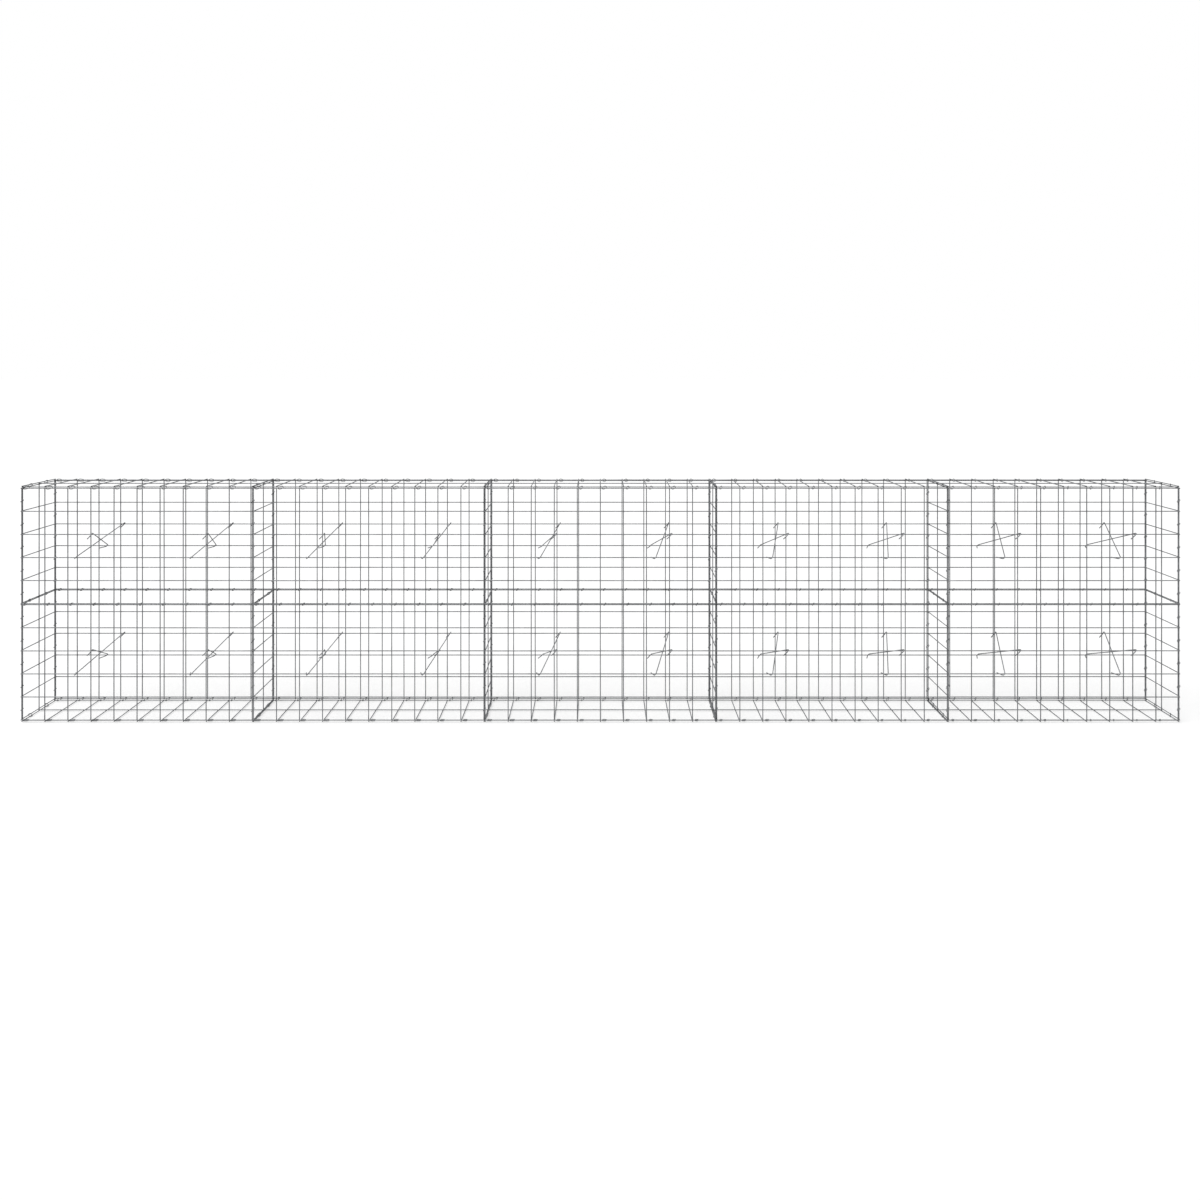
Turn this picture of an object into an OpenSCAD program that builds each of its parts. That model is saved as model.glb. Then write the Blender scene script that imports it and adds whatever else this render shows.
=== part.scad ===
// Gabion wall: a row of empty welded-mesh cages, two tiers high, ringed together along every edge.
// X runs along the wall, the front face looks along -Y, Z is up. The origin is at the middle of the
// wall on the ground. Every mesh wire is a six-sided bar.

/* [Wall] */
// Bays side by side along the wall
bays = 5; // [2:1:6]
// Length of one bay, between the centres of its end wires
bay_l = 1000; // [600:50:2000]
// Height of one tier, between the centres of its lowest and highest wires
tier_h = 500; // [300:50:1000]
// Depth of the wall, between the centres of its front and back uprights
wall_d = 208; // [150:1:600]

/* [Mesh] */
// Pitch of the mesh that each panel comes nearest to with whole cells
mesh = 100; // [60:5:150]
// Thickness of the mesh wires
wire_d = 4; // [3:0.5:6]
// How far one wire is pressed into the other at a weld
weld_set = 0.4; // [0.2:0.1:1]
// Length of the cut ends that the base and cover wires leave past their edge wire
lid_tail = 3; // [1:0.5:5]

/* [Fit] */
// Gap between the edge wires of neighbouring bays
bay_gap = 1; // [0.5:0.1:2]
// Gap between the edge wires of the two tiers
tier_gap = 0.5; // [0.3:0.1:2]
// Gap between a wire and the one that it rests against without a weld
seat = 0.3; // [0.2:0.1:0.8]

/* [Rings] */
// Thickness of the wire rings that hold the panels together
ring_d = 2.2; // [1.8:0.2:4]
// Place of a ring along a long edge, past each upright
ring_past_upright = 18; // [12:1:40]
// Place of a ring along an upright, above each level wire
ring_above_level = 43; // [20:1:50]
// Place of a ring along a cross edge, past each long wire of the lids
ring_past_cross = 47; // [25:1:60]

/* [Ties] */
// Thickness of the tie wires
tie_d = 4; // [3:0.5:5]
// Level wire of a tier that carries the low end of each tie, counted from the bottom
tie_row = 2; // [1:1:3]
// Place of a tie's foot on the low wire, past an upright
low_foot = 38; // [20:1:50]
// Place of a tie's foot on the high wire, past the next upright
high_foot = 14; // [10:1:30]
// Reach of the hook at the high end, along the wall and down
high_hook = [24, 20]; // [10:1:40]
// Reach of the hook at the low end, along the wall and into the cage
low_hook = [20, 26]; // [10:1:40]

/* [Hidden] */
tier_names = ["lower", "upper"];
tiers = len(tier_names);

sides = 6;
bar_r = wire_d / 2 / cos(180 / sides);      // corner radius of a mesh wire
clear = bar_r + seat;                       // from the centre of a mesh wire to what rests against it
sunk = wire_d - weld_set;                   // between the centres of welded wires
lean = bar_r + clear;                       // between the centres of upright wires that lean together
rest = wire_d + seat;                       // between the centres of level wires that lie on each other

cells_x = max(5, round(bay_l / mesh));
cells_z = max(4, round(tier_h / mesh));
cells_y = max(2, round(wall_d / mesh));
pitch_x = bay_l / cells_x;
pitch_z = tier_h / cells_z;
cross_d = wall_d - 2 * lean;                // depth between the outer uprights of a cross panel
pitch_y = cross_d / cells_y;

bay_step = bay_l + wire_d + bay_gap;
tier_step = tier_h + wire_d + tier_gap;
row_x = -(bays * bay_step - wire_d - bay_gap) / 2;
front_y = -wall_d / 2;
foot_z = ring_d + clear + sunk + rest;     // lowest level wire above the ground
top_z = foot_z + tier_step * (tiers - 1) + tier_h;

ring_off = clear + ring_d / 2;              // from the centre of a wire to the ring round it

// One straight mesh wire between two points.
module bar(from, to) {
    v = to - from;
    translate(from)
        rotate([0, atan2(norm([v.x, v.y]), v.z), atan2(v.y, v.x)])
            rotate(180 / sides)
                cylinder(h = norm(v), r = bar_r, $fn = sides);
}

// A panel standing along X: uprights on the plane y, level wires at the distance out in front of them.
module wall_panel(x, y, z, out) {
    for (k = [0:cells_x])
        bar([x + k * pitch_x, y, z - wire_d / 2], [x + k * pitch_x, y, z + tier_h + wire_d / 2]);
    for (k = [0:cells_z])
        bar([x - wire_d / 2, y + out, z + k * pitch_z], [x + bay_l + wire_d / 2, y + out, z + k * pitch_z]);
}

function bay_x(i) = row_x + (i - 1) * bay_step;
function tier_z(t) = foot_z + t * tier_step;

module front_panel(i, t) {
    color("silver")
        wall_panel(bay_x(i), front_y, tier_z(t), -sunk);
}

module back_panel(i, t) {
    color("silver")
        wall_panel(bay_x(i), front_y + wall_d, tier_z(t), sunk);
}

// A panel across the wall, one for each tier, with its level wires at the distance out along X.
module cross_panel(x, out) {
    color("darkgray")
        for (t = [0:tiers - 1]) {
            z = tier_z(t);
            for (k = [0:cells_y])
                translate([x, front_y + lean + k * pitch_y, 0])
                    bar([0, 0, z - wire_d / 2], [0, 0, z + tier_h + wire_d / 2]);
            for (k = [0:cells_z])
                bar([x + out, front_y + clear, z + k * pitch_z],
                    [x + out, front_y + wall_d - clear, z + k * pitch_z]);
        }
}

function divider_x(i) = bay_x(i) + bay_l + (wire_d + bay_gap) / 2;

module end_left() {
    cross_panel(bay_x(1), -sunk);
}

module end_right() {
    cross_panel(bay_x(bays) + bay_l, sunk);
}

module divider(i) {
    cross_panel(divider_x(i), sunk);
}

// A level panel: long wires at the height z and short wires at the distance out above or below them.
module level_panel(x, z, out) {
    for (k = [0:cells_y])
        translate([0, front_y + lean + k * pitch_y, z])
            bar([x - wire_d / 2, 0, 0], [x + bay_l + wire_d / 2, 0, 0]);
    for (k = [0:cells_x])
        translate([x + k * pitch_x, 0, z + out])
            bar([0, front_y + lean - wire_d / 2 - lid_tail, 0],
                [0, front_y + wall_d - lean + wire_d / 2 + lid_tail, 0]);
}

module base(i) {
    color("gray")
        level_panel(bay_x(i), foot_z - rest, -sunk);
}

module cover(i) {
    color("lightgray")
        level_panel(bay_x(i), top_z + rest, sunk);
}

// Wire bent through the given points: its end section is carried along it and mitred at each bend.
function unit(v) = v / norm(v);
function along(points, k) = unit(points[min(k, len(points) - 2) + 1] - points[min(k, len(points) - 2)]);
function mitre(points, k) = unit(along(points, max(k - 1, 0)) + along(points, k));
function end_section(points, d) =
    let (n = along(points, 0), u = unit(cross(n, [0, 0, 1])), w = cross(u, n))
        [for (a = [0:360 / sides:359]) points[0] + d / 2 * (u * cos(a) + w * sin(a))];
function section_at(points, d, k) = k == 0 ? end_section(points, d) :
    let (n = mitre(points, k), v = along(points, k - 1))
        [for (q = section_at(points, d, k - 1)) q + v * ((points[k] - q) * n) / (v * n)];

module bent_wire(points, d) {
    last = len(points) - 1;
    polyhedron(
        [for (k = [0:last], q = section_at(points, d, k)) q],
        concat(
            [[for (a = [0:sides - 1]) a]],
            [for (k = [0:last - 1], a = [0:sides - 1]) let (b = (a + 1) % sides)
                [k * sides + b, k * sides + a, (k + 1) * sides + a, (k + 1) * sides + b]],
            [[for (a = [sides - 1:-1:0]) last * sides + a]]
        )
    );
}

tie_over = bar_r + tie_d / 2 + seat;        // from the centre of a level wire to a tie round it

// One tie from a foot on a low wire to a foot on the next wire up, on the opposite face of the wall.
// Each foot goes over its wire and hooks round the outside of it. The low end is at the back where
// the sign is +1.
module tie(x_low, x_high, z_low, sign) {
    tilt = atan2(pitch_z, wall_d);
    z_high = z_low + pitch_z;
    y_low = sign * (wall_d / 2 + sunk);
    y_high = -y_low;
    out = sign * tie_over;
    bent_wire([
        [x_low - low_hook.x, y_low - sign * low_hook.y, z_low - tie_over - seat],
        [x_low - low_hook.x / 3, y_low + out, z_low - tie_over],
        [x_low, y_low + out, z_low + tie_over * (1 / cos(tilt) - tan(tilt))],
        [x_high, y_high - out, z_high + tie_over * (1 / cos(tilt) + tan(tilt))],
        [x_high - high_hook.x / 3, y_high - out, z_high - tie_over],
        [x_high - high_hook.x, y_high - out / 2, z_high - high_hook.y]
    ], tie_d);
}

// Two ties that pass each other in the middle of the cage, both with the low foot on the left.
module tie_pair(x, z_low) {
    reach = pitch_x + high_foot - low_foot;
    spread = (tie_d + seat) * norm([reach, pitch_z]) / pitch_z;
    for (sign = [-1, 1]) {
        x_low = x + low_foot - sign * spread / 2;
        tie(x_low, x_low + reach, z_low, sign);
    }
}

module ties(t) {
    color("dimgray")
        for (i = [1:bays], k = [2, cells_x - 3])
            tie_pair(bay_x(i) + k * pitch_x, tier_z(t) + tie_row * pitch_z);
}

// The centre and radius of the ring that goes round wires at the given points.
function ring_centre(wires) = [
    (min([for (w = wires) w.x]) + max([for (w = wires) w.x])) / 2,
    (min([for (w = wires) w.y]) + max([for (w = wires) w.y])) / 2
];
function ring_r(wires) = max([for (w = wires) norm(w - ring_centre(wires))]) + ring_off;

// One ring round wires that run along Z through the given points.
module edge_ring(wires) {
    translate(ring_centre(wires))
        rotate_extrude($fn = 48)
            translate([ring_r(wires), 0])
                circle(ring_d / 2, $fn = 16);
}

// A ring past each upright of every bay, round long wires of both faces. Each wire is given by how
// far it lies in front of the face and by its height.
module long_rings(wires) {
    for (i = [1:bays], side = [-1, 1], k = [0:cells_x - 1])
        translate([bay_x(i) + k * pitch_x + ring_past_upright, 0, 0])
            rotate([90, 0, 90])
                edge_ring([for (w = wires) [side * (wall_d / 2 + w.x), w.y]]);
}

// The stations are the two ends of the wall and its dividers, counted from the left.
function station_x(i) = i == 0 ? bay_x(1) : i == bays ? bay_x(bays) + bay_l : divider_x(i);
function half_joint(i) = i == 0 || i == bays ? 0 : (wire_d + bay_gap) / 2;
function level_out(i) = i == 0 ? -sunk : sunk;
function ring_y(k) = front_y + lean + k * pitch_y + ring_past_cross;

// The rings round the cross edges: the level wire of the cross panel and the edge wires of the lids
// on both sides of it, which lie higher by the height up.
module cross_rings(z, up) {
    for (i = [0:bays], k = [0:cells_y - 1])
        translate([station_x(i), ring_y(k), z])
            rotate([90, 0, 0])
                edge_ring([[level_out(i), 0], [-half_joint(i), up], [half_joint(i), up]]);
}

// The rings round the lowest cross edges have flat undersides, which are what the wall stands on.
module ground_rings() {
    for (i = [0:bays], k = [0:cells_y - 1]) {
        left = min(-half_joint(i), level_out(i)) - clear;
        right = max(half_joint(i), level_out(i)) + clear;
        translate([station_x(i), ring_y(k), 0])
            rotate([90, 0, 0])
                linear_extrude(ring_d, center = true)
                    difference() {
                        blunt_box(left - ring_d, 0, right + ring_d, foot_z + clear + ring_d);
                        blunt_box(left, ring_d, right, foot_z + clear);
                    }
    }
}

// A rectangle between two corners, with each corner cut off.
module blunt_box(x0, y0, x1, y1) {
    c = wire_d / 3;
    polygon([
        [x0 + c, y0], [x1 - c, y0], [x1, y0 + c], [x1, y1 - c],
        [x1 - c, y1], [x0 + c, y1], [x0, y1 - c], [x0, y0 + c]
    ]);
}

module rings_top() {
    color("slategray") {
        long_rings([[sunk, top_z], [-lean, top_z + rest]]);
        cross_rings(top_z, rest + sunk);
    }
}

module rings_middle() {
    color("slategray") {
        long_rings([[sunk, tier_z(0) + tier_h], [sunk, tier_z(1)]]);
        for (i = [0:bays], k = [0:cells_y - 1])
            translate([station_x(i) + level_out(i), ring_y(k), 0])
                rotate([90, 0, 0])
                    edge_ring([[0, tier_z(0) + tier_h], [0, tier_z(1)]]);
    }
}

module rings_base() {
    color("slategray") {
        long_rings([[sunk, foot_z], [-lean, foot_z - rest]]);
        ground_rings();
    }
}

module rings_uprights() {
    color("slategray")
        for (i = [0:bays], t = [0:tiers - 1], side = [-1, 1], k = [0:cells_z - 1])
            translate([station_x(i), 0, tier_z(t) + k * pitch_z + ring_above_level])
                edge_ring([[-half_joint(i), side * wall_d / 2], [half_joint(i), side * wall_d / 2],
                    [0, side * (wall_d / 2 - lean)]]);
}

for (i = [1:bays]) front_panel(i, 0);
for (i = [1:bays]) front_panel(i, 1);
for (i = [1:bays]) back_panel(i, 0);
for (i = [1:bays]) back_panel(i, 1);
end_left();
end_right();
for (i = [1:bays - 1]) divider(i);
for (i = [1:bays]) base(i);
for (i = [1:bays]) cover(i);
ties(0);  // ties_lower
ties(1);  // ties_upper
rings_top();
rings_middle();
rings_base();
rings_uprights();
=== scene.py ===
import math

import bpy
import numpy as np
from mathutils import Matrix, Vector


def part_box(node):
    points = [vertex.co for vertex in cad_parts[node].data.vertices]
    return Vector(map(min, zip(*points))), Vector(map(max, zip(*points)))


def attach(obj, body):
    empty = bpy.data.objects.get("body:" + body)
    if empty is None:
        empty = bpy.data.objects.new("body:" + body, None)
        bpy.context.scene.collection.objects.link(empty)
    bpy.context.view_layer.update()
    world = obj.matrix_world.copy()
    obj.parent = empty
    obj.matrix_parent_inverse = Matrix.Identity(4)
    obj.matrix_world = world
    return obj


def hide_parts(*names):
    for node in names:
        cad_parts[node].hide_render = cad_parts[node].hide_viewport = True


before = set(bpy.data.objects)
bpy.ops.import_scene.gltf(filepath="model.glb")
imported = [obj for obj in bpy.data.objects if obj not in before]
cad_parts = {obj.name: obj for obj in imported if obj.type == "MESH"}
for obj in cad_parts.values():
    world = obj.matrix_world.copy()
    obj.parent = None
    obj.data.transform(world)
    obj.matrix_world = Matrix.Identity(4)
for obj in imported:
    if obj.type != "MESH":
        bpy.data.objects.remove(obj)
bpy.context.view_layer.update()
print("frame loaded")

rng = np.random.default_rng(7)
mm = 0.001

# The mesh wires. Lengths of wires, panels, ties and rings are in millimetres.
wire = {
    "thickness": 4.0,
    "sides": 10,
    "step": 50.0,                     # spacing of the cross sections along a straight wire
    "cornerRadius": 2.3094,           # of the six-sided CAD bars, to find their centres in the boxes
    "pitchError": 0.35,               # how far a wire strays from its even place
    "endShare": 0.5,                  # of that error, for the outermost wires, which only stray inwards
    "bow": 0.25,                      # how far a panel waves out of its plane
    "slowWave": (5.1, 3.7, 2.9, 6.3),  # of that bow, in radians for each metre
    "quickWave": (9.7, 7.3),
    "endChamfer": 0.4,
    "grainShift": 5.0,                # largest shift of the surface's grain along a wire, in metres
    "weldWidth": 2.75,
    "weldHeight": 1.0,
    "weldError": 0.07,                # how much a weld differs in width, as a share
    "weldSides": 10,
    "weldLevels": (-0.75, 0.0, 0.75),  # of a bead's cross sections, from its middle to its poles
    "weldGrain": 0.3,                 # radius of a bead's grain coordinates
}
# The place of each material on a piece.
skinSlot, cutSlot, weldSlot = 0, 1, 2


class WireMesh:
    # Collects tubes and weld beads, and makes one mesh object of them.
    def __init__(self):
        self.verts, self.faces, self.uvs, self.mats = [], [], [], []
        self.count = 0

    def add(self, verts, faces, uvs, mats):
        self.verts.append(np.asarray(verts, float))
        self.faces += [tuple(int(v) + self.count for v in f) for f in faces]
        self.uvs += uvs
        self.mats += mats
        self.count += len(verts)

    def tube(self, path, radius, sides, closed=False, chamfer=wire["endChamfer"] * mm):
        self.add(*tubeParts(np.asarray(path, float), radius, sides, closed, chamfer))

    def bead(self, centre, axisA, axisB, axisN):
        # A flat ellipsoid: the metal squeezed out where two wires are welded.
        around, levels, grain = wire["weldSides"], wire["weldLevels"], wire["weldGrain"]
        verts, faces = [centre - axisN], []
        for level in levels:
            for k in range(around):
                a = 2 * math.pi * k / around
                ring = math.sqrt(1 - level * level)
                across = math.cos(a) * axisA + math.sin(a) * axisB
                verts.append(centre + ring * across + level * axisN)
        verts.append(centre + axisN)
        for k in range(around):
            n = (k + 1) % around
            faces.append((0, 1 + n, 1 + k))
            for r in range(len(levels) - 1):
                base = 1 + r * around
                faces.append((base + k, base + n, base + around + n, base + around + k))
            base = 1 + (len(levels) - 1) * around
            faces.append((base + k, base + n, len(verts) - 1))
        uvs = [[(grain * math.cos(v), grain * math.sin(v)) for v in f] for f in faces]
        self.add(verts, faces, uvs, [weldSlot] * len(faces))

    def make(self, name, node, materials):
        mesh = bpy.data.meshes.new(name)
        mesh.from_pydata(np.concatenate(self.verts).tolist(), [], self.faces)
        layer = mesh.uv_layers.new(name="wire")
        flat = np.array([c for face in self.uvs for uv in face for c in uv], np.float32)
        layer.data.foreach_set("uv", flat)
        mesh.polygons.foreach_set("material_index", self.mats)
        mesh.polygons.foreach_set("use_smooth", [m != cutSlot for m in self.mats])
        mesh.update()
        piece = bpy.data.objects.new(name, mesh)
        bpy.context.scene.collection.objects.link(piece)
        for material in materials:
            mesh.materials.append(material)
        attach(piece, "root")
        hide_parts(node)
        return piece


def tubeParts(path, radius, sides, closed, chamfer):
    # Cross sections carried along the path without twisting, with chamfered flat ends if it is open.
    if closed:
        tangents = np.roll(path, -1, 0) - np.roll(path, 1, 0)
    else:
        tangents = np.gradient(path, axis=0)
    tangents /= np.linalg.norm(tangents, axis=1)[:, None]
    normals = np.zeros_like(path)
    first = np.cross(tangents[0], (0.0, 0.0, 1.0))
    if np.linalg.norm(first) < 0.1:
        first = np.cross(tangents[0], (0.0, 1.0, 0.0))
    normals[0] = first / np.linalg.norm(first)
    for k in range(1, len(path)):
        n = normals[k - 1] - tangents[k] * np.dot(normals[k - 1], tangents[k])
        normals[k] = n / np.linalg.norm(n)
    sideways = np.cross(tangents, normals)
    radii = np.full(len(path), radius)
    lengths = np.concatenate([[0], np.cumsum(np.linalg.norm(np.diff(path, axis=0), axis=1))])
    if not closed:
        path = np.concatenate([path[:1], path[:1] + tangents[:1] * chamfer, path[1:-1],
                               path[-1:] - tangents[-1:] * chamfer, path[-1:]])
        normals = np.concatenate([normals[:1], normals, normals[-1:]])
        sideways = np.concatenate([sideways[:1], sideways, sideways[-1:]])
        radii = np.concatenate([[radius - chamfer], np.full(len(path) - 2, radius), [radius - chamfer]])
        lengths = np.concatenate([lengths[:1], lengths[:1] + chamfer, lengths[1:-1],
                                  lengths[-1:] - chamfer, lengths[-1:]])
    angles = np.arange(sides) * 2 * math.pi / sides
    ways = (np.cos(angles)[None, :, None] * normals[:, None]
            + np.sin(angles)[None, :, None] * sideways[:, None])
    sections = path[:, None] + radii[:, None, None] * ways
    count = len(path)
    faces, uvs, mats = [], [], []
    girth = 2 * math.pi * radius / sides
    shift = float(rng.uniform(0, wire["grainShift"]))
    spans = count if closed else count - 1
    for k in range(spans):
        nextK = (k + 1) % count
        v0 = lengths[k] + shift
        v1 = lengths[k + 1] + shift if k + 1 < count else v0 + np.linalg.norm(path[0] - path[-1])
        tip = not closed and k in (0, count - 2)
        for a in range(sides):
            b = (a + 1) % sides
            faces.append((k * sides + a, k * sides + b, nextK * sides + b, nextK * sides + a))
            u0, u1 = a * girth, (a + 1) * girth
            uvs.append([(u0, v0), (u1, v0), (u1, v1), (u0, v1)])
            mats.append(cutSlot if tip else skinSlot)
    if not closed:
        cap = [(radius * math.cos(t), radius * math.sin(t)) for t in angles]
        faces.append(tuple(range(sides - 1, -1, -1)))
        uvs.append(cap[::-1])
        faces.append(tuple(range((count - 1) * sides, count * sides)))
        uvs.append(cap)
        mats += [cutSlot, cutSlot]
    return sections.reshape(-1, 3), faces, uvs, mats


def wavePhases():
    return rng.uniform(0, 2 * math.pi, 4)


def waveAt(phases, u, v):
    # A gentle wave over a panel, between -1 and 1, with u and v in metres.
    a, b, c, d = wire["slowWave"]
    e, f = wire["quickWave"]
    slow = np.sin(a * u + b * v + phases[0]) * np.cos(c * u - d * v + phases[1])
    quick = np.sin(e * u + phases[2]) * np.sin(f * v + phases[3])
    return (slow + quick) / 2


def meshGrid(target, origin, axisA, axisB, axisN, placesA, placesB, spanA, spanB, gap):
    # A welded mesh panel. Wires of set A run along axisB at placesA, in the plane of the origin. Wires
    # of set B run along axisA at placesB, at the distance gap along axisN. Spans are the wires' ends.
    axisA, axisB, axisN = (np.array(v, float) for v in (axisA, axisB, axisN))
    phases = wavePhases()
    radius = wire["thickness"] * mm / 2
    error = wire["pitchError"] * mm

    def strays(places):
        stray = rng.uniform(-error, error, (len(places), 2))
        stray[0] = np.abs(stray[0]) * wire["endShare"]
        stray[-1] = -np.abs(stray[-1]) * wire["endShare"]
        return stray

    def at(a, b, n):
        a, b = np.asarray(a, float), np.asarray(b, float)
        wave = wire["bow"] * mm * waveAt(phases, a + origin[0], b + origin[2])
        return (np.asarray(origin)[None] + a[:, None] * axisA[None] + b[:, None] * axisB[None]
                + (n + wave)[:, None] * axisN[None])

    strayA, strayB = strays(placesA), strays(placesB)

    def slanted(place, stray, share):
        return place + stray[0] + (stray[1] - stray[0]) * share

    def sharesOf(span):
        # Even shares of a wire's length, at least five of them so that short wires wave too.
        return np.linspace(0, 1, max(5, 1 + round((span[1] - span[0]) / (wire["step"] * mm))))

    for place, stray in zip(placesA, strayA):
        share = sharesOf(spanB)
        b = spanB[0] + (spanB[1] - spanB[0]) * share
        target.tube(at(slanted(place, stray, share), b, 0), radius, wire["sides"])
    for place, stray in zip(placesB, strayB):
        share = sharesOf(spanA)
        a = spanA[0] + (spanA[1] - spanA[0]) * share
        target.tube(at(a, slanted(place, stray, share), gap), radius, wire["sides"])
    for placeA, sA in zip(placesA, strayA):
        for placeB, sB in zip(placesB, strayB):
            shareA = (placeB - spanB[0]) / (spanB[1] - spanB[0])
            shareB = (placeA - spanA[0]) / (spanA[1] - spanA[0])
            centre = at([slanted(placeA, sA, shareA)], [slanted(placeB, sB, shareB)], gap / 2)[0]
            size = wire["weldWidth"] * mm * rng.uniform(1 - wire["weldError"], 1 + wire["weldError"])
            target.bead(centre, axisA * size, axisB * size, axisN * wire["weldHeight"] * mm)


def placesBetween(low, high, count):
    return list(np.linspace(low, high, count))


# Galvanised steel: a grey zinc skin, mottled at the scale of a few millimetres, with faint drawing
# lines along the wire. Patches of some centimetres make it lighter and darker.
zinc = {
    "darkTone": (0.145, 0.149, 0.155, 1),
    "lightTone": (0.28, 0.288, 0.299, 1),
    "metallic": 0.85,
    "roughness": (0.58, 0.72),
    "cutTone": (0.1, 0.1, 0.101, 1),
    "cutRoughness": (0.5, 0.7),
    "weldTone": (0.12, 0.123, 0.127, 1),
    "weldRoughness": (0.45, 0.65),
    "spangle": {"Scale": 140.0, "Detail": 4.0, "Roughness": 0.6},
    "patches": {"Scale": 9.0, "Detail": 3.0},
    "lines": {"Scale": 1.0, "Detail": 2.0},
    "lineStretch": (2200.0, 60.0, 1.0),  # round the wire and along it
    "spangleShare": 0.55,
    "patchShare": 0.45,
    "toneRange": (0.36, 0.64),
    "roughRange": (0.35, 0.65),
    "lineHeight": 0.4,                   # of the drawing lines, for each unit of spangle
    "bump": 0.25,
    "weldBump": 0.5,
    "bumpDistance": 0.0002,
}


def mathNode(tree, operation, values=()):
    # A Math node, with its constants given as {input number: value} pairs.
    node = tree.nodes.new("ShaderNodeMath")
    node.operation = operation
    for number, value in dict(values).items():
        node.inputs[number].default_value = value
    return node


def noiseNode(tree, values):
    node = tree.nodes.new("ShaderNodeTexNoise")
    for socket, value in values.items():
        node.inputs[socket].default_value = value
    return node


def galvanised(name, darkTone, lightTone, roughness, bumpStrength=zinc["bump"]):
    material = bpy.data.materials.new(name)
    material.use_nodes = True
    tree = material.node_tree
    nodes, links = tree.nodes, tree.links
    shader = nodes["Principled BSDF"]
    shader.inputs["Metallic"].default_value = zinc["metallic"]
    place = nodes.new("ShaderNodeTexCoord")
    spangle, patches = noiseNode(tree, zinc["spangle"]), noiseNode(tree, zinc["patches"])
    links.new(place.outputs["Object"], spangle.inputs["Vector"])
    links.new(place.outputs["Object"], patches.inputs["Vector"])
    patchPart = mathNode(tree, "MULTIPLY", {1: zinc["patchShare"]})
    blend = mathNode(tree, "MULTIPLY_ADD", {1: zinc["spangleShare"]})
    links.new(patches.outputs["Fac"], patchPart.inputs[0])
    links.new(spangle.outputs["Fac"], blend.inputs[0])
    links.new(patchPart.outputs[0], blend.inputs[2])
    tone = nodes.new("ShaderNodeValToRGB")
    ends = zip(tone.color_ramp.elements, zinc["toneRange"], (darkTone, lightTone))
    for element, position, colour in ends:
        element.position = position
        element.color = colour
    links.new(blend.outputs[0], tone.inputs["Fac"])
    links.new(tone.outputs["Color"], shader.inputs["Base Color"])
    rough = nodes.new("ShaderNodeMapRange")  # the light patches are the smoother ones
    rough.inputs["From Min"].default_value, rough.inputs["From Max"].default_value = zinc["roughRange"]
    rough.inputs["To Max"].default_value, rough.inputs["To Min"].default_value = roughness
    links.new(blend.outputs[0], rough.inputs["Value"])
    links.new(rough.outputs["Result"], shader.inputs["Roughness"])
    drawn = nodes.new("ShaderNodeMapping")
    drawn.inputs["Scale"].default_value = zinc["lineStretch"]
    lines = noiseNode(tree, zinc["lines"])
    links.new(place.outputs["UV"], drawn.inputs["Vector"])
    links.new(drawn.outputs["Vector"], lines.inputs["Vector"])
    height = mathNode(tree, "MULTIPLY_ADD", {1: zinc["lineHeight"]})
    links.new(lines.outputs["Fac"], height.inputs[0])
    links.new(spangle.outputs["Fac"], height.inputs[2])
    bump = nodes.new("ShaderNodeBump")
    bump.inputs["Strength"].default_value = bumpStrength
    bump.inputs["Distance"].default_value = zinc["bumpDistance"]
    links.new(height.outputs[0], bump.inputs["Height"])
    links.new(bump.outputs["Normal"], shader.inputs["Normal"])
    return material


meshZinc = galvanised("galvanisedMesh", zinc["darkTone"], zinc["lightTone"], zinc["roughness"])
cutSteel = galvanised("cutWireEnd", zinc["cutTone"], zinc["weldTone"], zinc["cutRoughness"])
weldZinc = galvanised("weldBead", zinc["weldTone"], zinc["darkTone"], zinc["weldRoughness"],
                      zinc["weldBump"])
meshSet = [meshZinc, cutSteel, weldZinc]
print("mesh materials made")

# How the panels are divided. The counts match the CAD model's.
panels = {
    "bays": 5,
    "cellsAlong": 10,
    "cellsUp": 5,
    "cellsAcross": 2,
    "lidTail": 3.0,  # how far the cross wires of bases and covers reach past their edge wires
}
bays = panels["bays"]
corner = wire["cornerRadius"] * mm
half = wire["thickness"] * mm / 2
upright, level = [0, 0, 1], [1, 0, 0]


def corners(node):
    low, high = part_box(node)
    return np.array(low, float), np.array(high, float)


def wallPanel(node, side):
    low, high = corners(node)
    planeUp = high[1] - corner if side < 0 else low[1] + corner
    planeLevel = low[1] + corner if side < 0 else high[1] - corner
    target = WireMesh()
    length, height = high[0] - low[0], high[2] - low[2]
    meshGrid(target, (low[0], planeUp, low[2]), level, upright, (0, side, 0),
             placesBetween(half, length - half, panels["cellsAlong"] + 1),
             placesBetween(half, height - half, panels["cellsUp"] + 1),
             (0, length), (0, height), abs(planeLevel - planeUp))
    target.make(node + "_wires", node, meshSet)


for tier in ("lower", "upper"):
    for bay in range(1, bays + 1):
        wallPanel(f"front_{tier}_{bay}", -1)
        wallPanel(f"back_{tier}_{bay}", 1)
print("front and back panels made")

tierHeight = corners("front_lower_1")[1][2] - corners("front_lower_1")[0][2]
tierBottoms = [corners("front_lower_1")[0][2], corners("front_upper_1")[0][2]]


def crossPanel(node, out):
    low, high = corners(node)
    planeUp = high[0] - corner if out < 0 else low[0] + corner
    planeLevel = low[0] + corner if out < 0 else high[0] - corner
    target = WireMesh()
    depth = high[1] - low[1]
    for bottom in tierBottoms:
        meshGrid(target, (planeUp, low[1], bottom), (0, 1, 0), upright, (out, 0, 0),
                 placesBetween(corner, depth - corner, panels["cellsAcross"] + 1),
                 placesBetween(half, tierHeight - half, panels["cellsUp"] + 1),
                 (0, depth), (0, tierHeight), abs(planeLevel - planeUp))
    target.make(node + "_wires", node, meshSet)


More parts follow.
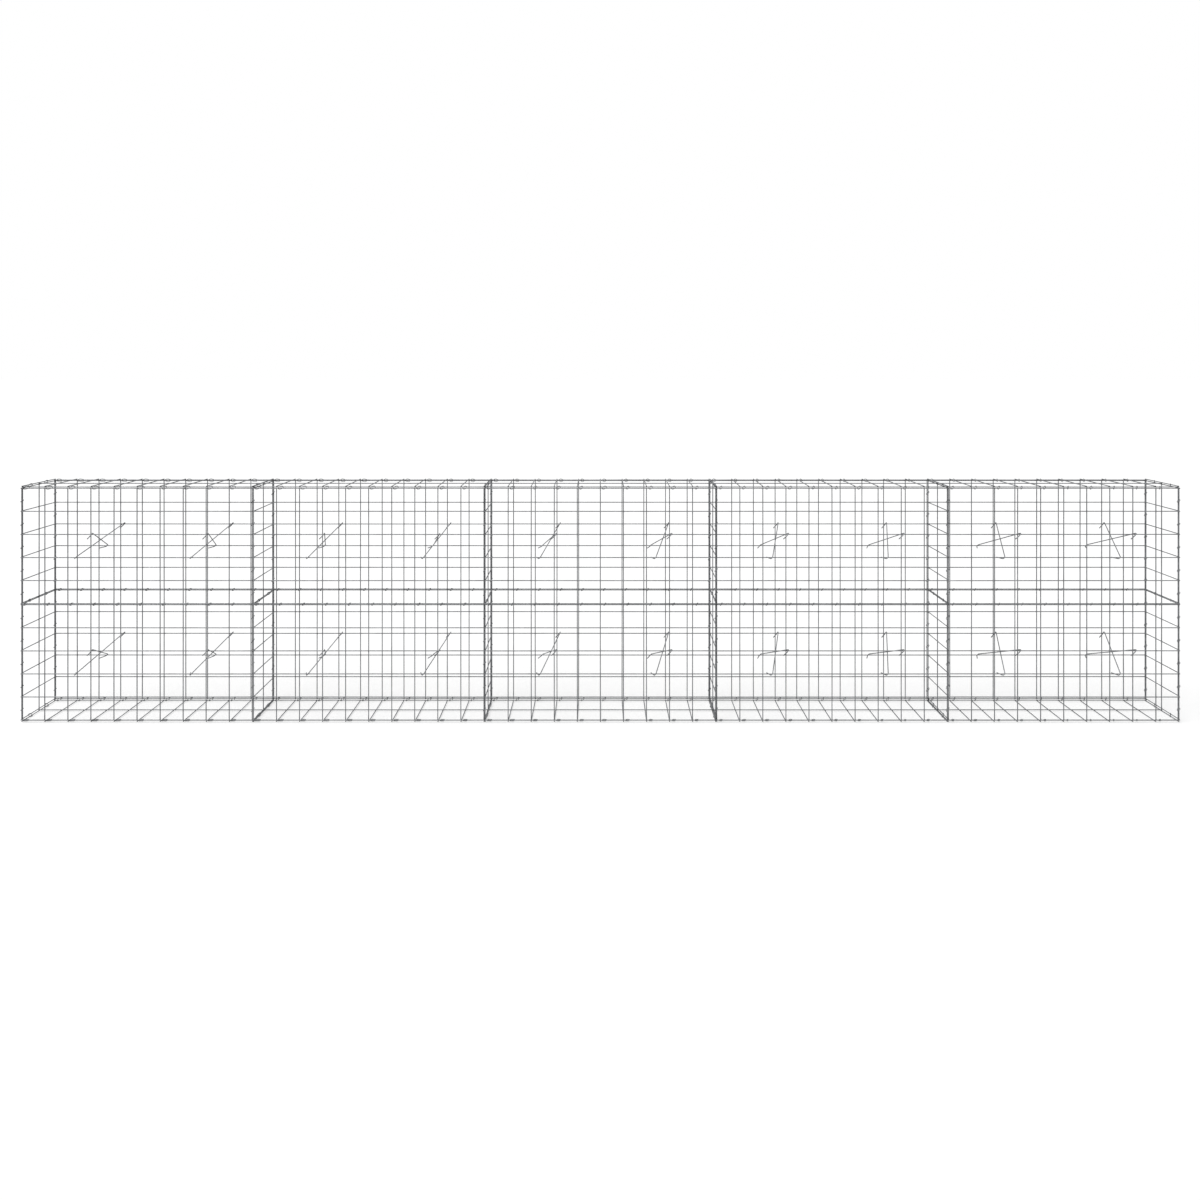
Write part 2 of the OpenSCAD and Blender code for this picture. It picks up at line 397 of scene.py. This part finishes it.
crossPanel("end_left", -1)
crossPanel("end_right", 1)
for number in range(1, bays):
    crossPanel(f"divider_{number}", 1)
print("end and divider panels made")


def lid(node, out):
    low, high = corners(node)
    planeLong = low[2] + half if out > 0 else high[2] - half
    planeShort = high[2] - half if out > 0 else low[2] + half
    tail = panels["lidTail"] * mm + half
    target = WireMesh()
    length, depth = high[0] - low[0], high[1] - low[1]
    meshGrid(target, (low[0], low[1], planeLong), (0, 1, 0), level, (0, 0, out),
             placesBetween(tail, depth - tail, panels["cellsAcross"] + 1),
             placesBetween(half, length - half, panels["cellsAlong"] + 1),
             (0, depth), (0, length), abs(planeShort - planeLong))
    target.make(node + "_wires", node, meshSet)


for bay in range(1, bays + 1):
    lid(f"base_{bay}", -1)
    lid(f"cover_{bay}", 1)
print("bases and covers made")

# Places shared by the ties and the rings, measured from the boxes of the CAD nodes.
frontLow, frontHigh = corners("front_lower_1")
backLow, backHigh = corners("back_lower_1")
depthHalf = backLow[1] + corner  # plane of the back uprights
outer = backHigh[1] - corner     # plane of the back level wires
pitchAlong = (frontHigh[0] - frontLow[0] - 2 * half) / panels["cellsAlong"]
pitchUp = (tierHeight - 2 * half) / panels["cellsUp"]
bayStarts = [corners(f"front_lower_{b}")[0][0] + half for b in range(1, bays + 1)]


# The ties: pairs of hooked wires that cross in the middle of the cage.
tieWire = {
    "thickness": 4.0,
    "sides": 10,
    "bend": 5.0,             # radius of the bends
    "bendSteps": 6,
    "bendReach": 0.48,       # largest share of a stretch that one of its bends may take
    "sharpest": 0.05,        # smallest tangent of half a bend's angle
    "step": 50.0,            # spacing of the cross sections along a straight stretch
    "longestStep": 60.0,     # a stretch up to this long is left whole
    "shortestStep": 0.01,
    "lowFoot": 38.0,         # from an upright to the tie's low end, along the wall
    "highFoot": 14.0,
    "highHook": (24.0, 20.0),
    "lowHook": (20.0, 26.0),
    "seat": 0.3,             # gap between a tie and the wire that it hooks over
    "row": 2,                # the level wire that the low ends hook over
    "cells": (2, 7),         # the cells of a bay that hold a pair
    "darkTone": (0.16, 0.164, 0.17, 1),
    "lightTone": (0.3, 0.308, 0.319, 1),
    "roughness": (0.55, 0.7),
}
tieZinc = galvanised("galvanisedTie", tieWire["darkTone"], tieWire["lightTone"], tieWire["roughness"])


def roundedPath(points, bend):
    # The straight stretches between the points, joined by arcs of about the given radius.
    steps, bendReach = tieWire["bendSteps"], tieWire["bendReach"]
    points = [np.array(p, float) for p in points]
    path = [points[0]]
    for k in range(1, len(points) - 1):
        back, ahead = points[k - 1] - points[k], points[k + 1] - points[k]
        lengthBack, lengthAhead = np.linalg.norm(back), np.linalg.norm(ahead)
        back, ahead = back / lengthBack, ahead / lengthAhead
        turnHalf = math.acos(max(-1, min(1, float(np.dot(back, ahead))))) / 2
        reach = min(bend / max(math.tan(turnHalf), tieWire["sharpest"]),
                    bendReach * lengthBack, bendReach * lengthAhead)
        for s in range(steps + 1):
            t = s / steps
            path.append((1 - t) ** 2 * (points[k] + back * reach) + 2 * t * (1 - t) * points[k]
                        + t * t * (points[k] + ahead * reach))
    path.append(points[-1])
    spaced = [path[0]]
    for p in path[1:]:
        gap = np.linalg.norm(p - spaced[-1])
        if gap > tieWire["longestStep"] * mm:
            count = int(gap // (tieWire["step"] * mm)) + 1
            spaced += [spaced[-1] + (p - spaced[-1]) * s / count for s in range(1, count)]
        if gap > tieWire["shortestStep"] * mm:
            spaced.append(p)
    return np.array(spaced)


def tiePath(xLow, xHigh, zLow, sign):
    # From the tail of the low end, over both wires, to the tail of the high end.
    over = corner + (tieWire["thickness"] / 2 + tieWire["seat"]) * mm
    seat = tieWire["seat"] * mm
    tilt = math.atan2(pitchUp, 2 * depthHalf)
    zHigh = zLow + pitchUp
    yLow, yHigh = sign * outer, -sign * outer
    out = sign * over
    lowHook = [v * mm for v in tieWire["lowHook"]]
    highHook = [v * mm for v in tieWire["highHook"]]
    return roundedPath([
        (xLow - lowHook[0], yLow - sign * lowHook[1], zLow - over - seat),
        (xLow - lowHook[0] / 3, yLow + out, zLow - over),
        (xLow, yLow + out, zLow + over * (1 / math.cos(tilt) - math.tan(tilt))),
        (xHigh, yHigh - out, zHigh + over * (1 / math.cos(tilt) + math.tan(tilt))),
        (xHigh - highHook[0] / 3, yHigh - out, zHigh - over),
        (xHigh - highHook[0], yHigh - out / 2, zHigh - highHook[1]),
    ], tieWire["bend"] * mm)


for tier, bottom in zip(("lower", "upper"), tierBottoms):
    target = WireMesh()
    lowFoot, highFoot = tieWire["lowFoot"] * mm, tieWire["highFoot"] * mm
    reach = pitchAlong + highFoot - lowFoot
    spread = (tieWire["thickness"] + tieWire["seat"]) * mm * math.hypot(reach, pitchUp) / pitchUp
    for start in bayStarts:
        for cell in tieWire["cells"]:
            for sign in (-1, 1):
                xLow = start + cell * pitchAlong + lowFoot - sign * spread / 2
                zLow = bottom + half + tieWire["row"] * pitchUp
                target.tube(tiePath(xLow, xLow + reach, zLow, sign),
                            tieWire["thickness"] * mm / 2, tieWire["sides"])
    target.make(f"ties_{tier}_wires", f"ties_{tier}", [tieZinc, cutSteel, weldZinc])
print("ties made")

# The rings: short wires closed round the edge wires, one past each upright, each a little askew.
rings = {
    "thickness": 2.2,
    "sides": 8,
    "points": 26,         # round a ring
    "outlinePoints": 73,  # round the bundle of wires, before they are spaced evenly
    "askew": 47.0,        # degrees that a ring is turned from square to its edge
    "askewError": 6.0,
    "placeError": 1.2,
    "slant": 0.5,         # of the rings between the tiers, along the wall for each unit of height
    "looseness": 0.5,     # round covers and uprights: 0 is tight and 1 is a full circle
    "pastUpright": 18.0,  # from an upright to the ring beside it, along the wall
    "aboveLevel": 43.0,   # from a level wire to the ring above it
    "pastCross": 47.0,    # from a wire along the wall to the ring behind it, across the wall
    "seat": 0.3,
    "darkTone": (0.14, 0.144, 0.149, 1),
    "lightTone": (0.27, 0.277, 0.287, 1),
    "roughness": (0.5, 0.65),
}
ringZinc = galvanised("galvanisedRing", rings["darkTone"], rings["lightTone"], rings["roughness"])
ringSet = [ringZinc, cutSteel, weldZinc]


def outline(wires, reach, loose):
    # Evenly spaced points round a bundle of wires, at the given reach from them, or as far towards the
    # circle round them all as the ring is loose.
    wires = np.array(wires)
    angles = np.linspace(0, 2 * math.pi, rings["outlinePoints"])
    ways = np.stack([np.cos(angles), np.sin(angles)], 1)
    tight = wires[np.argmax(ways @ wires.T, axis=1)] + reach * ways
    middle = (wires.min(0) + wires.max(0)) / 2
    circle = middle + (np.linalg.norm(wires - middle, axis=1).max() + reach) * ways
    line = tight + (circle - tight) * loose
    lengths = np.concatenate([[0], np.cumsum(np.linalg.norm(np.diff(line, axis=0), axis=1))])
    even = np.linspace(0, lengths[-1], rings["points"], endpoint=False)
    return np.stack([np.interp(even, lengths, line[:, k]) for k in (0, 1)], 1)


def ringsAlong(target, wires, places, turn, slant=0.0, wireRadius=half, loose=0.0):
    # Rings at the places along an edge, round wires that run along X through the given (y, z) points.
    # The turn maps the points made for an edge along X to the real edge.
    radius = rings["thickness"] * mm / 2
    across = outline(wires, wireRadius + rings["seat"] * mm + radius, loose)
    middle = (across.min(0) + across.max(0)) / 2
    for place in places:
        askewAngle = rings["askew"] + float(rng.uniform(-1, 1)) * rings["askewError"]
        askew = math.tan(math.radians(askewAngle))
        along = (place + float(rng.uniform(-1, 1)) * rings["placeError"] * mm
                 + askew * (across[:, 0] - middle[0]) + slant * (across[:, 1] - middle[1]))
        target.tube(turn(np.column_stack([along, across])), radius, rings["sides"], closed=True)


def asIs(points):
    return points


longPlaces = [start + k * pitchAlong + rings["pastUpright"] * mm
              for start in bayStarts for k in range(panels["cellsAlong"])]
baseLow, baseHigh = corners("base_1")
coverLow, coverHigh = corners("cover_1")
lidEdge = coverHigh[1] - half - panels["lidTail"] * mm  # the edge wires of bases and covers
coverLong, coverShort = coverLow[2] + half, coverHigh[2] - half
baseLong, baseShort = baseHigh[2] - half, baseLow[2] + half
footLevel = tierBottoms[0] + half
lowerTop = tierBottoms[0] + tierHeight - half
upperBottom = tierBottoms[1] + half
topLevel = tierBottoms[1] + tierHeight - half

# The stations are the two ends of the wall and its dividers. Each has the planes of its panel's
# uprights and level wires, and the places of the edge uprights of the bays that meet there.
stations = []
for station in range(bays + 1):
    if station == 0:
        node, out, edges = "end_left", -1, [bayStarts[0]]
    elif station == bays:
        node, out, edges = "end_right", 1, [bayStarts[-1] + panels["cellsAlong"] * pitchAlong]
    else:
        node, out = f"divider_{station}", 1
        edges = [bayStarts[station - 1] + panels["cellsAlong"] * pitchAlong, bayStarts[station]]
    low, high = corners(node)
    planeUp, planeLevel = high[0] - corner, low[0] + corner
    if out > 0:
        planeUp, planeLevel = planeLevel, planeUp
    stations.append({"up": planeUp, "level": planeLevel, "edges": edges})
crossLow, crossHigh = corners("divider_1")
crossFirst = crossLow[1] + corner
crossPitch = (crossHigh[1] - crossLow[1] - 2 * corner) / panels["cellsAcross"]
crossPlaces = [crossFirst + k * crossPitch + rings["pastCross"] * mm
               for k in range(panels["cellsAcross"])]


def acrossWall(points):
    # From an edge along X to one along Y: (x, y, z) becomes (y, x, z).
    return points[:, [1, 0, 2]]


def upWall(points):
    # From an edge along X to one along Z: (x, y, z) becomes (y, z, x).
    return points[:, [1, 2, 0]]


target = WireMesh()
for side in (-1, 1):
    ringsAlong(target, [(side * outer, topLevel), (side * lidEdge, coverLong)], longPlaces, asIs,
               loose=rings["looseness"])
for s in stations:
    wires = [(s["level"], topLevel)] + [(e, coverShort) for e in s["edges"]]
    ringsAlong(target, wires, crossPlaces, acrossWall)
target.make("rings_top_wires", "rings_top", ringSet)

target = WireMesh()
for side in (-1, 1):
    wires = [(side * outer, lowerTop), (side * outer, upperBottom)]
    ringsAlong(target, wires, longPlaces, asIs, slant=rings["slant"])
for s in stations:
    wires = [(s["level"], lowerTop), (s["level"], upperBottom)]
    ringsAlong(target, wires, crossPlaces, acrossWall)
target.make("rings_middle_wires", "rings_middle", ringSet)

# The wall stands on the rings round the lowest cross edges, which therefore keep the CAD model's gap.
target = WireMesh()
for side in (-1, 1):
    ringsAlong(target, [(side * outer, footLevel), (side * lidEdge, baseLong)], longPlaces, asIs)
for s in stations:
    wires = [(s["level"], footLevel)] + [(e, baseShort) for e in s["edges"]]
    ringsAlong(target, wires, crossPlaces, acrossWall, wireRadius=corner)
target.make("rings_base_wires", "rings_base", ringSet)

target = WireMesh()
lean = depthHalf - (crossHigh[1] - corner)  # the cross panels' uprights stand this far inside the rest
for s in stations:
    for bottom in tierBottoms:
        places = [bottom + half + k * pitchUp + rings["aboveLevel"] * mm
                  for k in range(panels["cellsUp"])]
        for side in (-1, 1):
            wires = [(e, side * depthHalf) for e in s["edges"]]
            wires.append((s["up"], side * (depthHalf - lean)))
            ringsAlong(target, wires, places, upWall, loose=rings["looseness"])
target.make("rings_uprights_wires", "rings_uprights", ringSet)
print("rings made")

# The camera stands in front of the middle of the wall, level, with the view shifted down.
view = {
    "place": (0.0, -3.4535, 1.5694),  # in metres
    "lens": 23.163,
    "sensor": 36.0,
    "shift": (-0.0003, -0.1993),
}
cameraData = bpy.data.cameras.new("camera")
cameraData.sensor_width = view["sensor"]
cameraData.lens = view["lens"]
cameraData.shift_x, cameraData.shift_y = view["shift"]
camera = bpy.data.objects.new("camera", cameraData)
camera.location = view["place"]
camera.rotation_euler = (math.radians(90), 0, 0)
bpy.context.scene.collection.objects.link(camera)
bpy.context.scene.camera = camera

# Lights and floor. The sun lamps are wide and soft, and strong enough together with the world that a
# colour renders about as written. The lit floor and its lift add up to white where the camera looks.
studio = {
    "overhead": {"strength": 2.6, "angle": 45.0, "turn": (16.0, -28.0)},
    "side": {"strength": 0.1, "angle": 60.0, "turn": (0.0, -60.0)},
    "worldLight": 0.2,
    "floorTone": (0.44, 0.44, 0.44, 1),
    "floorLift": 0.64,
    "floorRoughness": 0.9,
    "floorReach": 60.0,    # in metres, as is the drop
    "floorDrop": 0.0005,
}


def sunLamp(name, values):
    data = bpy.data.lights.new(name, "SUN")
    data.energy = values["strength"]
    data.angle = math.radians(values["angle"])
    lamp = bpy.data.objects.new(name, data)
    lamp.rotation_euler = (math.radians(values["turn"][0]), math.radians(values["turn"][1]), 0)
    bpy.context.scene.collection.objects.link(lamp)


sunLamp("overheadLight", studio["overhead"])
sunLamp("sideLight", studio["side"])


def seenDirectly(tree):
    # 1 where a camera, glossy or transmission ray looks, and 0 for the light on surfaces.
    path = tree.nodes.new("ShaderNodeLightPath")
    first, second = mathNode(tree, "MAXIMUM"), mathNode(tree, "MAXIMUM")
    links = tree.links
    links.new(path.outputs["Is Camera Ray"], first.inputs[0])
    links.new(path.outputs["Is Glossy Ray"], first.inputs[1])
    links.new(first.outputs[0], second.inputs[0])
    links.new(path.outputs["Is Transmission Ray"], second.inputs[1])
    return second.outputs[0]


world = bpy.data.worlds.new("studio")
bpy.context.scene.world = world
world.use_nodes = True
tree = world.node_tree
nodes, links = tree.nodes, tree.links
background = nodes["Background"]
background.inputs["Color"].default_value = (1, 1, 1, 1)
strength = nodes.new("ShaderNodeMapRange")
strength.inputs["To Min"].default_value = studio["worldLight"]
strength.inputs["To Max"].default_value = 1.0
links.new(seenDirectly(tree), strength.inputs["Value"])
links.new(strength.outputs["Result"], background.inputs["Strength"])

floorMesh = bpy.data.meshes.new("floor")
far = studio["floorReach"]
floorCorners = [(-far, -far, 0), (far, -far, 0), (far, far, 0), (-far, far, 0)]
floorMesh.from_pydata(floorCorners, [], [(0, 1, 2, 3)])
floor = bpy.data.objects.new("floor", floorMesh)
floor.location.z = -studio["floorDrop"]
bpy.context.scene.collection.objects.link(floor)
floorMaterial = bpy.data.materials.new("paleFloor")
floorMaterial.use_nodes = True
tree = floorMaterial.node_tree
nodes, links = tree.nodes, tree.links
shader = nodes["Principled BSDF"]
shader.inputs["Base Color"].default_value = studio["floorTone"]
shader.inputs["Roughness"].default_value = studio["floorRoughness"]
shader.inputs["Specular IOR Level"].default_value = 0.0
shader.inputs["Emission Color"].default_value = (1, 1, 1, 1)
lift = mathNode(tree, "MULTIPLY", {1: studio["floorLift"]})
links.new(seenDirectly(tree), lift.inputs[0])
links.new(lift.outputs[0], shader.inputs["Emission Strength"])
floorMesh.materials.append(floorMaterial)
bpy.context.scene.view_settings.view_transform = "Standard"
print("camera, lights and floor made")
